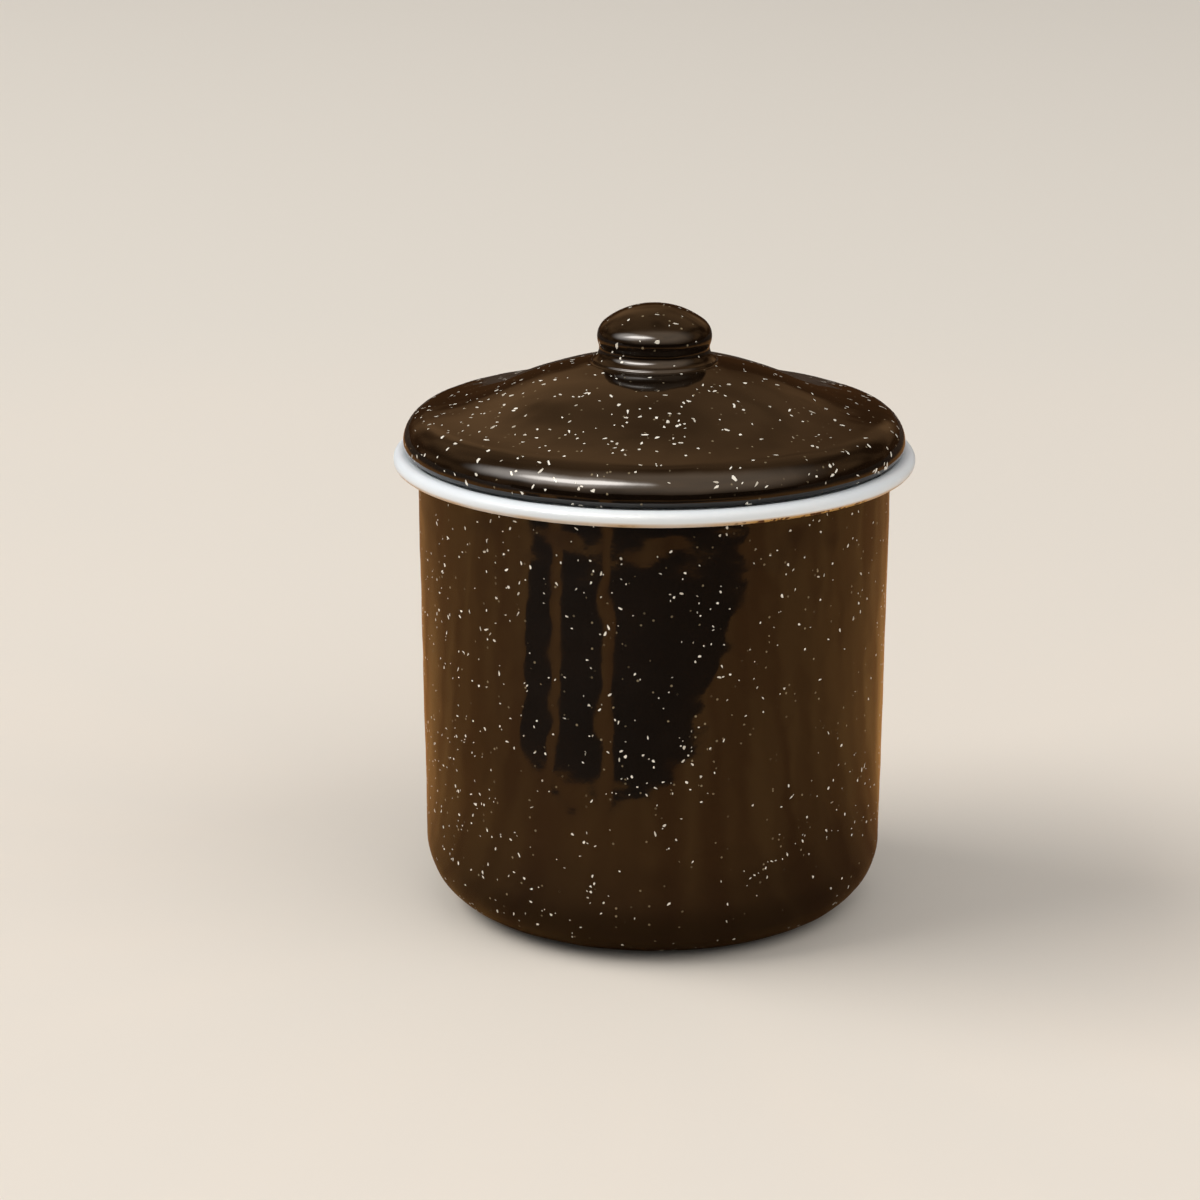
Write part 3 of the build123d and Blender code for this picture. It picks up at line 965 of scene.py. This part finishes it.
print("room has", len(glows), "glows")

# %% [markdown]
# The lamps light the enamel's own colours, and reflections don't see them. The stronger one stands at the
# left, as the window does, and the other fills the shadows from the front right.

# %% Lamps
def lamp(name, azimuth, height, away, size, power):
    """A soft lamp that faces the lid from a direction, and that reflections don't see."""
    light = bpy.data.lights.new(name, "AREA")
    light.shape = "RECTANGLE"
    light.size, light.size_y = size
    light.energy = power
    turn = facing(azimuth, height, 0)
    lamp_object = bpy.data.objects.new(name, light)
    lamp_object.location = Vector((0, 0, rim_height)) + away * turn.col[2]
    lamp_object.rotation_euler = turn.to_euler()
    lamp_object.visible_glossy = False
    bpy.context.scene.collection.objects.link(lamp_object)
    print(name, "lamp gives", power, "W")


lamp("window", azimuth=-88, height=44, away=6, size=(5.0, 3.7), power=276)
lamp("fill", azimuth=46, height=46, away=5, size=(6.6, 3.6), power=98)

# %% [markdown]
# A photographer lays cards where only the gloss sees them. A tan board on the floor gives the black its
# warm brown. Its tones run outwards from the canister, so the wall shows them as soft upright bands, and
# it darkens far out and behind. Close to the foot its darkening is a painted contact shadow of the
# canister.

# %% Board for the gloss
board_height = 0.5 * mm
board_foot = 0.15
board_near = 0.42
board_far = 0.8
board_roughness = 0.8
streak_count = 4.5
streak_break = 0.9
streak_range = {1: 0.32, 2: 0.68}
far_dusk = {1: board_near, 2: board_far}
back_dusk = {1: 0, 2: board_near, 4: 0.6}
foot_painted_shadow = {1: board_foot, 2: base_radius, 4: 0.7}


def gloss_only(piece):
    """Hides a piece of the stage from everything but reflections."""
    piece.visible_camera = False
    piece.visible_diffuse = False
    piece.visible_shadow = False


board_paint, tree, shader, place = new_material("tan_board")
bearing = add(tree, "ShaderNodeVectorMath", {0: place}, operation="NORMALIZE")
drawn = add(tree, "ShaderNodeVectorMath", {0: place, 1: (streak_break,) * 3, 2: bearing.outputs[0]},
            operation="MULTIPLY_ADD")
streak = add(tree, "ShaderNodeTexNoise", {"Vector": drawn.outputs[0], "Scale": streak_count, "Detail": 1})
tan_tone = add(tree, "ShaderNodeMapRange", {0: streak.outputs[0], **streak_range})
bands = add(tree, "ShaderNodeMix", {0: tan_tone.outputs[0], 6: colour("#b4793b"), 7: colour("#dc9f57")},
            data_type="RGBA")
away = add(tree, "ShaderNodeVectorMath", {0: place}, operation="LENGTH").outputs["Value"]
back = add(tree, "ShaderNodeSeparateXYZ", {0: place}).outputs["Y"]
dusk = add(tree, "ShaderNodeMapRange", {0: away, **far_dusk})
behind = add(tree, "ShaderNodeMapRange", {0: back, **back_dusk})
# painted contact shadow: the board darkens close to the canister's foot
close = add(tree, "ShaderNodeMapRange", {0: away, **foot_painted_shadow})
gloom = add(tree, "ShaderNodeMath", {0: dusk.outputs[0], 1: behind.outputs[0]}, operation="MAXIMUM")
shade = add(tree, "ShaderNodeMath", {0: gloom.outputs[0], 1: close.outputs[0]}, operation="MAXIMUM")
faded = add(tree, "ShaderNodeMix", {0: shade.outputs[0], 6: bands.outputs[2], 7: colour("#1a110a")},
            data_type="RGBA")
tree.links.new(faded.outputs[2], shader.inputs["Base Color"])
shader.inputs["Roughness"].default_value = board_roughness
board = [(x * floor_reach, y * floor_reach, board_height) for x, y in square]
gloss_only(stage_piece("tan_board", board, board_paint))
print("board darkens from", board_near, "to", board_far, "m away")

# %% [markdown]
# On the board, three black cards lie fanned out in front, below the picture's edge, and give the wall its
# deep dark middle in upright strips. Each has a first and a last bearing in degrees, with how near to the
# axis it comes at either. A low black flag stands further off, and keeps the undersides of the lid's edge
# and of the knob dark.

# %% Cards for the gloss
card_fan = ((-58, -47, 0.215, 0.215), (-42, -23, 0.2, 0.2), (-17.5, 43.5, 0.192, 0.455))
card_far = 0.47
card_height = 1 * mm
card_turn = 2
card_curve = 3
flag_half = 1.6
flag_away = 0.72
flag_height = 0.22

card_paint = plain_paint("black_card", "#0b0908", roughness=0.9)
for number, (start, end, near, near_end) in enumerate(card_fan, 1):
    count = ceil((end - start) / card_turn)
    shares = [i / count for i in range(count + 1)]
    bearings = [radians(start + (end - start) * s) for s in shares]
    reaches = [near + (near_end - near) * s**card_curve for s in shares]
    edge = [(reach * sin(a), -reach * cos(a), card_height) for a, reach in zip(bearings, reaches)]
    far_edge = [(card_far * sin(a), -card_far * cos(a), card_height) for a in reversed(bearings)]
    gloss_only(stage_piece("black_card_" + str(number), edge + far_edge, card_paint))
flag = [(x * flag_half, -flag_away, z * flag_height) for x, z in ((-1, 0), (1, 0), (1, 1), (-1, 1))]
gloss_only(stage_piece("black_flag", flag, card_paint))
print("laid", len(card_fan), "cards and stood one flag")
